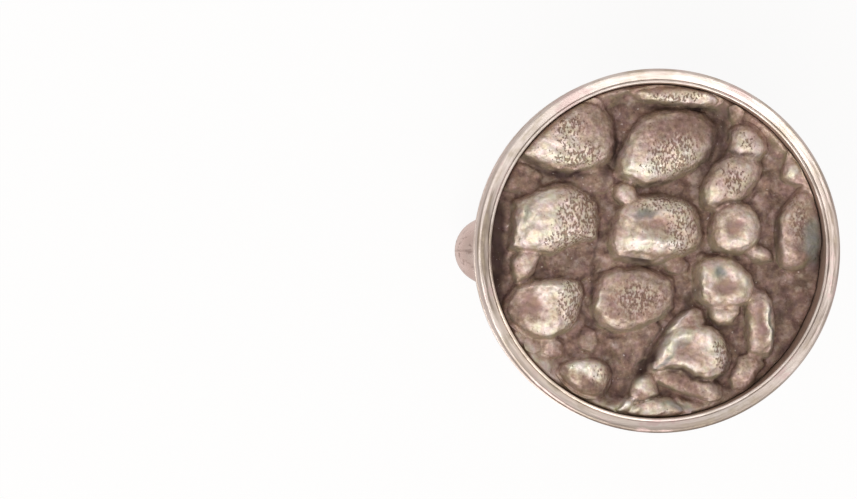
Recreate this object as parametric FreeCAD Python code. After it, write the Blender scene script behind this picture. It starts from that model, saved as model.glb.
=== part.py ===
# A round silver cufflink: a cast pebble relief in a polished bezel, on a flat arm with a torpedo toggle.
# Millimetres. The face looks up along +Z, and the origin is the middle of the base plate's back.
# The toggle lies along X at rest, across the arm, and its other place is along the arm.
import FreeCAD
import Part
import math
import os

# Base plate
head_diameter = 17.15
plate_thickness = 0.8
plate_edge_break = 0.25

# Bezel ring, the polished rim
bezel_step = 0.05
bezel_height = 2.2
bezel_wall = 0.47
bezel_shoulder = 0.18
shoulder_bevels = 3
bezel_fall = 0.08
bezel_inner_break = 0.07
bezel_foot_break = 0.12

# Liner ring, the thin lip inside the rim
seam_gap = 0.05
liner_wall = 0.15
liner_drop = 0.12

# Relief plate, the pebble casting
relief_clearance = 0.03
relief_thickness = 0.75
pebble_rise = 1.2
pebble_root = 0.3
pebble_inset = 0.04
dimple_depth = 0.15

# Arm
arm_width = 2.8
arm_thickness = 1.8
arm_corner_round = 0.8
arm_edge_break = 0.2
arm_drop = 11.0
foot_width = 5.0
flare_height = 1.8
tenon_clearance = 0.02

# Toggle
toggle_length = 17.9
toggle_diameter = 5.2
nose_length = 4.9
tip_radius = 1.7
slot_clearance = 0.06
stop_clearance = 0.05
cam_clearance = 0.07

# Leaf spring and its bed in the toggle
spring_thickness = 0.25
spring_tail = 3.0
spring_front = 5.2
spring_side_gap = 0.08
spring_gap = 0.02
spring_end_round = 0.5
bed_gap = 0.01
flex_room = 0.28
flex_half_length = 2.7

# Pivot rivet
rivet_diameter = 1.5
rivet_proud = 0.06
rivet_hole_clearance = 0.02
eye_clearance = 0.04

# Overrun of every cut, and the slack for finding an edge by its place
overrun = 1.0
find_slack = 0.001

# Pebbles, as shares: the rise as a share of the tallest, then the summit and the outline of its
# worn top, as shares of the opening's radius, read from the face.
pebble_shares = [
    (0.92, (-0.55, 0.62), [(-0.82, 0.58), (-0.7, 0.525), (-0.6, 0.49), (-0.49, 0.48), (-0.39, 0.5),
        (-0.31, 0.55), (-0.27, 0.65), (-0.29, 0.77), (-0.37, 0.87), (-0.47, 0.9), (-0.62, 0.8),
        (-0.75, 0.68)]),
    (1.0, (-0.02, 0.58), [(-0.22, 0.47), (-0.15, 0.43), (-0.07, 0.405), (0.02, 0.42), (0.11, 0.45),
        (0.2, 0.5), (0.28, 0.56), (0.325, 0.64), (0.32, 0.73), (0.25, 0.8), (0.12, 0.825), (0.0, 0.81),
        (-0.09, 0.77), (-0.16, 0.69), (-0.195, 0.6), (-0.22, 0.53)]),
    (0.8, (0.17, 0.92), [(-0.14, 0.955), (-0.09, 0.9), (0.0, 0.89), (0.1, 0.88), (0.2, 0.87),
        (0.28, 0.86), (0.345, 0.865), (0.37, 0.905), (0.3, 0.955), (0.18, 0.985), (0.02, 0.985)]),
    (0.8, (0.54, 0.63), [(0.43, 0.6), (0.48, 0.56), (0.56, 0.54), (0.62, 0.555), (0.66, 0.61),
        (0.645, 0.67), (0.6, 0.72), (0.55, 0.755), (0.49, 0.755), (0.45, 0.71), (0.44, 0.65)]),
    (0.5, (0.47, 0.83), [(0.43, 0.81), (0.46, 0.77), (0.505, 0.78), (0.52, 0.83), (0.48, 0.875),
        (0.435, 0.86)]),
    (0.92, (0.4, 0.4), [(0.28, 0.32), (0.3, 0.265), (0.35, 0.25), (0.4, 0.285), (0.49, 0.305),
        (0.55, 0.36), (0.6, 0.43), (0.615, 0.49), (0.585, 0.54), (0.5, 0.565), (0.42, 0.56),
        (0.36, 0.51), (0.31, 0.44), (0.28, 0.38)]),
    (0.55, (0.82, 0.48), [(0.76, 0.44), (0.81, 0.405), (0.87, 0.41), (0.93, 0.41), (0.91, 0.47),
        (0.85, 0.55), (0.8, 0.605), (0.775, 0.55), (0.76, 0.49)]),
    (1.0, (-0.68, 0.17), [(-0.87, 0.03), (-0.8, 0.01), (-0.72, 0.0), (-0.63, -0.01), (-0.55, 0.035),
        (-0.47, 0.07), (-0.39, 0.085), (-0.375, 0.16), (-0.39, 0.25), (-0.44, 0.33), (-0.52, 0.37),
        (-0.62, 0.38), (-0.7, 0.355), (-0.77, 0.315), (-0.84, 0.29), (-0.855, 0.2), (-0.855, 0.11)]),
    (0.6, (-0.78, -0.08), [(-0.84, -0.185), (-0.78, -0.165), (-0.735, -0.13), (-0.72, -0.07),
        (-0.69, -0.02), (-0.74, 0.005), (-0.82, 0.0), (-0.87, -0.05), (-0.86, -0.12)]),
    (0.95, (-0.66, -0.3), [(-0.885, -0.3), (-0.83, -0.225), (-0.75, -0.2), (-0.66, -0.18),
        (-0.56, -0.18), (-0.485, -0.19), (-0.46, -0.25), (-0.475, -0.33), (-0.5, -0.41), (-0.56, -0.47),
        (-0.64, -0.505), (-0.73, -0.505), (-0.8, -0.47), (-0.87, -0.42), (-0.9, -0.36)]),
    (1.0, (-0.03, 0.12), [(-0.24, -0.03), (-0.15, -0.045), (-0.06, -0.06), (0.04, -0.045),
        (0.14, -0.02), (0.215, 0.02), (0.245, 0.1), (0.235, 0.18), (0.2, 0.25), (0.13, 0.295),
        (0.03, 0.315), (-0.08, 0.31), (-0.17, 0.28), (-0.225, 0.24), (-0.25, 0.15), (-0.27, 0.05)]),
    (0.95, (0.475, 0.12), [(0.36, 0.015), (0.43, -0.005), (0.5, -0.01), (0.56, 0.02), (0.61, 0.07),
        (0.62, 0.14), (0.6, 0.21), (0.55, 0.26), (0.47, 0.28), (0.4, 0.265), (0.35, 0.22), (0.33, 0.14),
        (0.335, 0.06)]),
    (0.42, (0.62, -0.02), [(0.545, -0.01), (0.58, -0.06), (0.64, -0.08), (0.7, -0.06), (0.69, -0.01),
        (0.64, 0.03), (0.59, 0.04), (0.56, 0.02)]),
    (0.76, (0.82, 0.13), [(0.735, 0.2), (0.73, 0.1), (0.735, 0.0), (0.76, -0.075), (0.81, -0.1),
        (0.88, -0.085), (0.94, -0.03), (1.0, 0.05), (1.0, 0.2), (0.96, 0.32), (0.9, 0.375),
        (0.84, 0.335), (0.78, 0.27)]),
    (1.0, (0.405, -0.18), [(0.25, -0.12), (0.245, -0.2), (0.265, -0.28), (0.32, -0.325), (0.4, -0.33),
        (0.48, -0.32), (0.545, -0.29), (0.575, -0.22), (0.56, -0.155), (0.51, -0.1), (0.45, -0.055),
        (0.37, -0.045), (0.3, -0.055), (0.26, -0.085)]),
    (0.7, (0.41, -0.38), [(0.31, -0.3), (0.325, -0.4), (0.375, -0.445), (0.45, -0.44), (0.495, -0.375),
        (0.495, -0.3), (0.4, -0.29)]),
    (0.84, (0.62, -0.42), [(0.56, -0.28), (0.6, -0.25), (0.655, -0.26), (0.69, -0.3), (0.7, -0.39),
        (0.705, -0.49), (0.695, -0.57), (0.67, -0.62), (0.61, -0.625), (0.56, -0.605), (0.55, -0.53),
        (0.54, -0.44), (0.54, -0.35)]),
    (0.86, (-0.15, -0.29), [(-0.37, -0.33), (-0.335, -0.425), (-0.255, -0.47), (-0.16, -0.47),
        (-0.07, -0.43), (0.02, -0.39), (0.075, -0.33), (0.09, -0.255), (0.07, -0.185), (-0.01, -0.145),
        (-0.1, -0.12), (-0.22, -0.125), (-0.315, -0.155), (-0.35, -0.24)]),
    (0.86, (-0.44, -0.72), [(-0.563, -0.685), (-0.493, -0.663), (-0.422, -0.65), (-0.352, -0.658),
        (-0.304, -0.694), (-0.286, -0.746), (-0.299, -0.799), (-0.334, -0.848), (-0.387, -0.87),
        (-0.44, -0.861), (-0.502, -0.83), (-0.554, -0.782), (-0.59, -0.729)]),
    (0.74, (-0.09, -0.82), [(-0.165, -0.86), (-0.145, -0.79), (-0.1, -0.735), (-0.04, -0.735),
        (-0.01, -0.79), (0.01, -0.86), (-0.05, -0.89), (-0.13, -0.895)]),
    (0.72, (-0.03, -0.93), [(-0.23, -1.0), (-0.15, -0.935), (-0.08, -0.905), (0.0, -0.885),
        (0.07, -0.885), (0.13, -0.93), (0.18, -0.97), (0.12, -1.01), (-0.05, -1.02)]),
    (0.62, (-0.2, -0.925), [(-0.26, -0.965), (-0.2, -0.89), (-0.14, -0.885), (-0.165, -0.945),
        (-0.22, -0.985)]),
    (1.0, (0.18, -0.6), [(-0.035, -0.71), (-0.03, -0.64), (0.0, -0.575), (0.045, -0.52), (0.1, -0.475),
        (0.16, -0.455), (0.24, -0.455), (0.32, -0.475), (0.375, -0.52), (0.41, -0.58), (0.42, -0.65),
        (0.395, -0.72), (0.33, -0.755), (0.25, -0.765), (0.17, -0.735), (0.1, -0.705), (0.03, -0.715)]),
    (0.62, (0.2, -0.79), [(-0.02, -0.73), (0.06, -0.68), (0.14, -0.7), (0.22, -0.745), (0.32, -0.77),
        (0.375, -0.81), (0.365, -0.875), (0.3, -0.89), (0.21, -0.87), (0.12, -0.835), (0.04, -0.8),
        (-0.01, -0.77)]),
    (0.66, (0.13, -0.425), [(0.055, -0.48), (0.1, -0.42), (0.15, -0.365), (0.21, -0.345), (0.27, -0.36),
        (0.285, -0.43), (0.23, -0.46), (0.14, -0.47), (0.085, -0.495)]),
    (0.5, (0.52, -0.7), [(0.445, -0.765), (0.475, -0.7), (0.5, -0.64), (0.56, -0.625), (0.63, -0.64),
        (0.65, -0.68), (0.605, -0.725), (0.575, -0.78), (0.52, -0.82), (0.46, -0.82)]),
    (0.66, (-0.19, 0.345), [(-0.255, 0.33), (-0.22, 0.285), (-0.16, 0.275), (-0.12, 0.31),
        (-0.12, 0.36), (-0.155, 0.4), (-0.21, 0.405), (-0.25, 0.38)]),
    (0.25, (-0.8, 0.43), [(-0.92, 0.38), (-0.85, 0.345), (-0.76, 0.355), (-0.71, 0.39), (-0.7, 0.45),
        (-0.76, 0.505), (-0.83, 0.52), (-0.87, 0.47)]),
    (0.28, (-0.38, 0.43), [(-0.5, 0.44), (-0.47, 0.38), (-0.4, 0.35), (-0.32, 0.355), (-0.27, 0.395),
        (-0.265, 0.46), (-0.31, 0.515), (-0.4, 0.515), (-0.47, 0.49)]),
    (0.22, (-0.5, -0.05), [(-0.67, -0.05), (-0.63, -0.14), (-0.52, -0.155), (-0.41, -0.165),
        (-0.37, -0.1), (-0.33, -0.02), (-0.34, 0.06), (-0.43, 0.075), (-0.53, 0.04), (-0.62, 0.0)]),
    (0.28, (-0.14, -0.56), [(-0.28, -0.53), (-0.2, -0.5), (-0.1, -0.465), (0.0, -0.43), (0.02, -0.48),
        (-0.04, -0.56), (-0.07, -0.64), (-0.13, -0.695), (-0.2, -0.69), (-0.25, -0.61)]),
    (0.25, (-0.42, -0.53), [(-0.47, -0.51), (-0.43, -0.455), (-0.37, -0.48), (-0.355, -0.55),
        (-0.39, -0.605), (-0.46, -0.585)]),
    (0.25, (-0.75, -0.555), [(-0.8, -0.545), (-0.76, -0.5), (-0.7, -0.515), (-0.695, -0.59),
        (-0.74, -0.61), (-0.79, -0.59)]),
    (0.25, (-0.63, -0.575), [(-0.69, -0.545), (-0.63, -0.515), (-0.565, -0.545), (-0.57, -0.625),
        (-0.62, -0.64), (-0.68, -0.61)]),
    (0.2, (0.66, 0.28), [(0.58, 0.3), (0.61, 0.23), (0.66, 0.2), (0.71, 0.24), (0.73, 0.31),
        (0.68, 0.36), (0.62, 0.36)]),
    (0.3, (0.13, -0.09), [(0.05, -0.06), (0.07, -0.12), (0.13, -0.14), (0.19, -0.125), (0.195, -0.07),
        (0.14, -0.045)]),
    (0.28, (0.27, -0.04), [(0.245, -0.04), (0.265, -0.07), (0.295, -0.05), (0.295, -0.02),
        (0.265, -0.01)]),
]
# How a pebble draws in from its root: the share of its outline at each share of the rise.
pebble_root_share = 1.22
pebble_profile_shares = [(1.1, 0.35), (0.97, 0.72), (0.74, 0.93), (0.38, 1.0)]
# Hollows worn into the tops of some pebbles: x, y and radius as shares of the opening's radius.
dimple_shares = [
    (0.45, 0.15, 0.10),
    (-0.77, -0.33, 0.09),
    (0.16, -0.59, 0.08),
    (0.39, -0.20, 0.10),
    (0.03, 0.15, 0.11),
]
dimple_floor_share = 0.3

# Sizes that follow from those above
plate_radius = head_diameter / 2
bezel_radius = plate_radius - bezel_step
bezel_bore = bezel_radius - bezel_wall
liner_radius = bezel_bore - seam_gap
opening_radius = liner_radius - liner_wall
relief_radius = opening_radius - relief_clearance
relief_floor = plate_thickness + relief_thickness
bezel_top = plate_thickness + bezel_height
arm_half_width = arm_width / 2
slot_width = arm_thickness + 2 * slot_clearance
toggle_radius = toggle_diameter / 2
rivet_radius = rivet_diameter / 2
pivot = FreeCAD.Vector(0, 0, -arm_drop)
spring_top = -arm_half_width - spring_gap
bed_floor = spring_top - spring_thickness - bed_gap
cam_reach = (arm_half_width - arm_corner_round) * math.sqrt(2) + arm_corner_round
along_x = FreeCAD.Vector(1, 0, 0)
along_y = FreeCAD.Vector(0, 1, 0)
along_z = FreeCAD.Vector(0, 0, 1)
full_turn = 360


def point(x, y, z):
    return FreeCAD.Vector(x, y, z)


def block(low, high):
    """A box from its lowest to its highest corner."""
    size = high - low
    return Part.makeBox(size.x, size.y, size.z, low)


def hoops(solid, radius, height):
    """The circular edges of a turned solid that have this radius at this height."""
    found = []
    for edge in solid.Edges:
        curve = edge.Curve
        if not isinstance(curve, Part.Circle):
            continue
        same_radius = abs(curve.Radius - radius) < find_slack
        same_height = abs(curve.Center.z - height) < find_slack
        if same_radius and same_height:
            found.append(edge)
    return found


def facet(corners):
    """A flat face with these corners."""
    return Part.Face(Part.makePolygon(corners + corners[:1]))


def cross_pin(radius, half_length):
    """A round bar along the pivot's axis, about the toggle's middle."""
    return Part.makeCylinder(radius, 2 * half_length, point(0, -half_length, 0), along_y)


def base_plate():
    """The back disc, with a broken back edge and a mortise for the arm's tenon."""
    disc = Part.makeCylinder(plate_radius, plate_thickness)
    disc = disc.makeChamfer(plate_edge_break, hoops(disc, plate_radius, 0))
    half_x = foot_width / 2 + tenon_clearance
    half_y = arm_thickness / 2 + tenon_clearance
    low = point(-half_x, -half_y, -overrun)
    high = point(half_x, half_y, plate_thickness + overrun)
    return disc.cut(block(low, high))


def bezel_ring():
    """The rim: its section is spun, with a bevelled shoulder, a top that falls inwards and a broken foot."""
    shoulder_x = bezel_radius - bezel_shoulder
    shoulder_z = bezel_top - bezel_shoulder
    fall_z = bezel_top - bezel_fall
    corners = []
    for step in range(shoulder_bevels + 1):
        lean = math.radians(90) * step / shoulder_bevels
        reach = bezel_shoulder * math.sin(lean)
        climb = bezel_shoulder * math.cos(lean)
        corners.append(point(shoulder_x + reach, 0, shoulder_z + climb))
    corners += [
        point(bezel_radius, 0, plate_thickness + bezel_foot_break),
        point(bezel_radius - bezel_foot_break, 0, plate_thickness),
        point(bezel_bore, 0, plate_thickness),
        point(bezel_bore, 0, fall_z - bezel_inner_break),
        point(bezel_bore + bezel_inner_break, 0, fall_z),
    ]
    return facet(corners).revolve(point(0, 0, 0), along_z, full_turn)


def liner_ring():
    """The thin lip that holds the relief plate, a little lower than the rim."""
    height = bezel_height - liner_drop
    ring = Part.makeCylinder(liner_radius, height, point(0, 0, plate_thickness))
    bore_foot = point(0, 0, plate_thickness - overrun)
    return ring.cut(Part.makeCylinder(opening_radius, height + 2 * overrun, bore_foot))


def pebble_ring(summit, outline, share, height):
    """A pebble's outline at this height, drawn in towards its summit or out from it by this share."""
    centre = point(*summit, 0) * opening_radius
    lift = point(0, 0, height)
    corners = [point(x, y, 0) * opening_radius for x, y in outline]
    return [centre + (corner - centre) * share + lift for corner in corners]


def pebble(row):
    """One pebble, rooted in the plate: bands of facets that close in from its root to a small flat crown."""
    rise, summit, outline = row
    rings = [pebble_ring(summit, outline, pebble_root_share, relief_floor - pebble_root)]
    for share, climb in pebble_profile_shares:
        rings.append(pebble_ring(summit, outline, share, relief_floor + climb * rise * pebble_rise))
    facets = [facet(rings[0]), facet(rings[-1])]
    for lower, upper in zip(rings, rings[1:]):
        for index in range(len(outline)):
            side = [lower[index - 1], lower[index], upper[index], upper[index - 1]]
            facets.append(facet(side))
    return Part.Solid(Part.Shell(facets))


def dimple(x, y, radius):
    """A cone that sinks a shallow hollow of this radius into a tall pebble's crown."""
    mouth = radius * opening_radius
    floor = dimple_floor_share * mouth
    foot = point(x * opening_radius, y * opening_radius, relief_floor + pebble_rise - dimple_depth)
    return Part.makeCone(floor, 2 * mouth - floor, 2 * dimple_depth, foot)


def relief_plate():
    """The casting: a disc with all pebbles, kept inside the opening, and the worn hollows."""
    disc = Part.makeCylinder(relief_radius, relief_thickness, point(0, 0, plate_thickness))
    pebbles = [pebble(row) for row in pebble_shares]
    field_foot = point(0, 0, plate_thickness)
    field = Part.makeCylinder(relief_radius - pebble_inset, bezel_height, field_foot)
    casting = disc.fuse([stone.common(field) for stone in pebbles])
    return casting.cut([dimple(*row) for row in dimple_shares]).removeSplitter()


def arm():
    """The flat post: a flared foot with a tenon, and a squared end with an eye round the pivot."""
    flare = foot_width / 2 - arm_half_width
    flare_radius = (flare ** 2 + flare_height ** 2) / (2 * flare)
    half_turn = math.atan2(flare_height, flare_radius - flare) / 2
    hollow_x = flare_radius * (1 - math.cos(half_turn)) + arm_half_width
    hollow_z = flare_radius * math.sin(half_turn) - flare_height
    corner = arm_corner_round * (1 - math.sqrt(0.5))
    inner_x = arm_half_width - arm_corner_round
    corner_x = arm_half_width - corner
    end_z = -arm_drop - arm_half_width
    side_z = end_z + arm_corner_round
    corner_z = end_z + corner

    def at(x, z):
        return point(x, 0, z)

    edges = [
        Part.Arc(at(-foot_width / 2, 0), at(-hollow_x, hollow_z), at(-arm_half_width, -flare_height)),
        Part.LineSegment(at(-arm_half_width, -flare_height), at(-arm_half_width, side_z)),
        Part.Arc(at(-arm_half_width, side_z), at(-corner_x, corner_z), at(-inner_x, end_z)),
        Part.LineSegment(at(-inner_x, end_z), at(inner_x, end_z)),
        Part.Arc(at(inner_x, end_z), at(corner_x, corner_z), at(arm_half_width, side_z)),
        Part.LineSegment(at(arm_half_width, side_z), at(arm_half_width, -flare_height)),
        Part.Arc(at(arm_half_width, -flare_height), at(hollow_x, hollow_z), at(foot_width / 2, 0)),
        Part.LineSegment(at(foot_width / 2, 0), at(-foot_width / 2, 0)),
    ]
    outline = Part.Face(Part.Wire([edge.toShape() for edge in edges]))
    outline.translate(point(0, -arm_thickness / 2, 0))
    post = outline.extrude(point(0, arm_thickness, 0))
    long_edges = []
    for edge in post.Edges:
        box = edge.BoundBox
        on_a_side = box.YLength < find_slack
        below_the_foot = box.ZMin < -find_slack
        if on_a_side and below_the_foot:
            long_edges.append(edge)
    post = post.makeChamfer(arm_edge_break, long_edges)
    eye = cross_pin(rivet_radius + eye_clearance, arm_thickness)
    eye.translate(pivot)
    tenon_low = point(-foot_width / 2, -arm_thickness / 2, 0)
    tenon_high = point(foot_width / 2, arm_thickness / 2, plate_thickness)
    return post.cut(eye).fuse(block(tenon_low, tenon_high)).removeSplitter()


def nose_edges(side):
    """One nose's outline from the barrel to the tip: a long arc off the barrel, then a tangent ball end."""
    barrel_end = toggle_length / 2 - nose_length
    ball_reach = nose_length - tip_radius
    arc_radius = (ball_reach ** 2 + toggle_radius ** 2 - tip_radius ** 2) / (2 * (toggle_radius - tip_radius))
    lean = math.atan2(arc_radius - toggle_radius, ball_reach)
    half_lean = (math.pi / 2 + lean) / 2

    def on_arc(angle):
        across = toggle_radius - arc_radius + arc_radius * math.sin(angle)
        return point(side * (barrel_end + arc_radius * math.cos(angle)), across, 0)

    def on_ball(angle):
        along = barrel_end + ball_reach + tip_radius * math.cos(angle)
        return point(side * along, tip_radius * math.sin(angle), 0)

    long_arc = Part.Arc(on_arc(math.pi / 2), on_arc(half_lean), on_arc(lean))
    return [long_arc, Part.Arc(on_arc(lean), on_ball(lean / 2), on_ball(0))]


def torpedo():
    """The toggle's outer form about its middle: a barrel between two noses."""
    barrel_end = toggle_length / 2 - nose_length
    barrel = Part.LineSegment(point(-barrel_end, toggle_radius, 0), point(barrel_end, toggle_radius, 0))
    axis = Part.LineSegment(point(toggle_length / 2, 0, 0), point(-toggle_length / 2, 0, 0))
    back_arc, back_ball = nose_edges(-1)
    outline = [back_ball, back_arc, barrel] + nose_edges(1) + [axis]
    section = Part.Face(Part.Wire([edge.toShape() for edge in outline]))
    return section.revolve(point(0, 0, 0), along_x, 360)


def toggle_hollow():
    """What is cut from the toggle: the arm's slot, room for its squared end, and the spring's bed."""
    half_slot = slot_width / 2
    far = toggle_length / 2 + overrun
    high = toggle_radius + overrun
    stop = -arm_half_width - stop_clearance
    slot = block(point(stop, -half_slot, stop), point(far, half_slot, high))
    cam_room = cross_pin(cam_reach + cam_clearance, half_slot)
    bed_low = point(-spring_tail - arm_half_width, -half_slot, bed_floor)
    bed = block(bed_low, point(spring_front + bed_gap, half_slot, spring_top + bed_gap))
    flex_low = point(-flex_half_length, -half_slot, bed_floor - flex_room)
    flex = block(flex_low, point(flex_half_length, half_slot, spring_top))
    hole = cross_pin(rivet_radius + rivet_hole_clearance, toggle_radius + overrun)
    return slot.fuse([cam_room, bed, flex, hole])


def toggle_shell(side):
    """Half of the toggle, parted down the middle of its slot."""
    low = point(-toggle_length, min(side * toggle_diameter, 0), -toggle_diameter)
    high = point(toggle_length, max(side * toggle_diameter, 0), toggle_diameter)
    shell = torpedo().common(block(low, high)).cut(toggle_hollow())
    shell.translate(pivot)
    return shell


def leaf_spring():
    """The flat spring on its bed under the arm's squared end, with rounded corners."""
    half_width = slot_width / 2 - spring_side_gap
    low = point(bed_gap - spring_tail - arm_half_width, -half_width, spring_top - spring_thickness)
    high = point(spring_front, half_width, spring_top)
    leaf = block(low, high)
    upright = [edge for edge in leaf.Edges if edge.BoundBox.ZLength > find_slack]
    leaf = leaf.makeFillet(spring_end_round, upright)
    leaf.translate(pivot)
    return leaf


def pivot_rivet():
    """The pin across the toggle, with ends domed a little proud of the barrel."""
    proud = toggle_radius + rivet_proud
    rivet = cross_pin(rivet_radius, proud).common(Part.makeSphere(proud))
    rivet.translate(pivot)
    return rivet


pieces = {
    "base_plate": base_plate(),
    "bezel_ring": bezel_ring(),
    "liner_ring": liner_ring(),
    "relief_plate": relief_plate(),
    "arm": arm(),
    "toggle_shell_front": toggle_shell(-1),
    "toggle_shell_rear": toggle_shell(1),
    "leaf_spring": leaf_spring(),
    "pivot_rivet": pivot_rivet(),
}
os.makedirs("parts", exist_ok=True)
for name, shape in pieces.items():
    shape.exportStep(os.path.join("parts", name + ".step"))
    print(name, "solids", len(shape.Solids), "volume", round(shape.Volume, 3), "valid", shape.isValid())
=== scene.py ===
# %% [markdown]
# # A round silver cufflink
# The cufflink is a polished rim round a dark casting of pebbles, on an arm with a swivelling toggle.
# Its pieces come as solids in one shared frame. This lesson loads them, remodels the ones that need
# a softer, more worn shape than a solid has, and gives every piece a finish made from shader nodes.

# %% Load the solids
import bpy
import math
import numpy as np
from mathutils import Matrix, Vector


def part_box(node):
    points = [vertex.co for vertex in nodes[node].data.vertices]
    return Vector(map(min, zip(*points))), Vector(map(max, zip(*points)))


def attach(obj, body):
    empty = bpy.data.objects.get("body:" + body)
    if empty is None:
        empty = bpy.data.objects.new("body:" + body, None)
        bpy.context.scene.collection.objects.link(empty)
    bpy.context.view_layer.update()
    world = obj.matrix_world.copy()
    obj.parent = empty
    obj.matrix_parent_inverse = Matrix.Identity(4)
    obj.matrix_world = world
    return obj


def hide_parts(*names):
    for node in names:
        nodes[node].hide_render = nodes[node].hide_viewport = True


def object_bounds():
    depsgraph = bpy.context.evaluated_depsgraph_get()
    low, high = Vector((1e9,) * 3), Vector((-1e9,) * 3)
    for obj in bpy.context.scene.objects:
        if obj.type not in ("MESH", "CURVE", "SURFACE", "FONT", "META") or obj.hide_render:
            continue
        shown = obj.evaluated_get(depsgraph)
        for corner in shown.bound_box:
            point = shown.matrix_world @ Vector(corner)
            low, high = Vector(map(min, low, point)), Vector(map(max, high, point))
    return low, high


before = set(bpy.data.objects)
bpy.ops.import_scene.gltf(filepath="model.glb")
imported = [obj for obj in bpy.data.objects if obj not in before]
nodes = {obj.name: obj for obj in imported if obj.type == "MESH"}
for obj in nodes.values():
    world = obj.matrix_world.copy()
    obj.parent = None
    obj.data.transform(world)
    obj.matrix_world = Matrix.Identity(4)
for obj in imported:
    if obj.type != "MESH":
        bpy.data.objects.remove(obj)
bpy.context.view_layer.update()
solid_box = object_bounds()
MM = 0.001


def in_mm(box):
    return [[round(x / MM, 2) for x in corner] for corner in box]


print("solids:", ", ".join(sorted(nodes)))
print("box in mm:", in_mm(solid_box))

# %% [markdown]
# ## Helpers
# An operator acts on everything that is selected, and the loaded solids still are. So each piece
# starts from an empty selection, and these small helpers do what a click or a Tab key does by hand.
# Typing the same five lines for each piece would work too, but is easy to get wrong.

# %% Helpers for selecting, editing and applying modifiers
same_point = 1e-6


def select_only(piece):
    bpy.ops.object.select_all(action="DESELECT")
    piece.select_set(True)
    bpy.context.view_layer.objects.active = piece


def edit(piece, what="SELECT"):
    select_only(piece)
    bpy.ops.object.mode_set(mode="EDIT")
    bpy.ops.mesh.select_all(action=what)


def leave_edit():
    bpy.ops.object.mode_set(mode="OBJECT")


def apply_modifier(piece, kind, **settings):
    select_only(piece)
    modifier = piece.modifiers.new(kind.lower(), kind)
    for key, value in settings.items():
        setattr(modifier, key, value)
    bpy.ops.object.modifier_apply(modifier=modifier.name)


def finish_piece(piece, body, node):
    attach(piece, body)
    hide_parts(node)
    print(piece.name, "has", len(piece.data.vertices), "points and rides on", body)


print(len(bpy.context.selected_objects), "objects are still selected")

# %% [markdown]
# ## The pebble casting
# On the real cufflink the pebbles are cast in one piece and rubbed smooth by wear. Sculpting each
# one by hand would work, but the solid already has them in place as faceted mounds. So a copy of it
# is turned into an even skin by a voxel remesh, as if dipped in wax, and smoothed like worn metal.

# %% Copy the solid and remesh it
skin_pitch = 0.068 * MM


def copy_of(node, name):
    select_only(nodes[node])
    bpy.ops.object.duplicate()
    piece = bpy.context.view_layer.objects.active
    piece.name = name
    piece.data.name = name
    piece.parent = None
    for key in list(piece.keys()):
        del piece[key]
    piece.data.materials.clear()
    edit(piece)
    bpy.ops.mesh.remove_doubles(threshold=same_point)
    leave_edit()
    return piece


relief = copy_of("relief_plate", "pebble_relief")
apply_modifier(relief, "REMESH", mode="VOXEL", voxel_size=skin_pitch, adaptivity=0.0)
apply_modifier(relief, "SMOOTH", factor=0.5, iterations=5)
print("skin of", len(relief.data.polygons), "faces")

# %% [markdown]
# ## Wear on the pebbles
# Years of rubbing have pressed hollows into some pebbles and left ridges on others. By hand that
# would be a few strokes of a sculpting brush. Here each stroke is a row: its place, length and width
# as shares of the casting's radius, its turn in degrees, and its height in mm. Strokes can be read
# and changed one by one, and they give the same result each time.

# %% Add up soft strokes at each point
low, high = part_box("relief_plate")
radius = high.x
outline_shakes = ((23, 0.007), (51, 0.005), (97, 0.003))


def points_of(mesh):
    values = np.empty(len(mesh.vertices) * 3, np.float32)
    mesh.vertices.foreach_get("co", values)
    return values.reshape(-1, 3)


def strokes(piece, rows, crisp=1.0):
    """The sum of soft oval strokes with a shaky outline, at each point of the piece."""
    face = points_of(piece.data)[:, :2] / radius
    x, y = face.T.copy()
    for pitch, shake in outline_shakes:
        push_x = np.sin(pitch * (y + 0.3 * x))
        push_y = np.sin(pitch * (x - 0.4 * y) + 1)
        face = face + shake * np.stack((push_x, push_y), axis=1)
    total = np.zeros(len(face))
    for x, y, length, width, turn, amount in rows:
        angle = math.radians(turn)
        along = np.array((math.cos(angle), math.sin(angle)))
        away = face - np.array((x, y))
        far_along = away @ along / length
        far_across = (away[:, 1] * along[0] - away[:, 0] * along[1]) / width
        total += amount * np.exp(-((far_along ** 2 + far_across ** 2) ** crisp))
    return total


print("radius of the casting:", round(radius / MM, 3), "mm")

# %% [markdown]
# The strokes become weights on the points, and a Displace modifier lifts or sinks what is weighted.
# A weight can't be negative, so ridges and hollows get a vertex group each.

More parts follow.
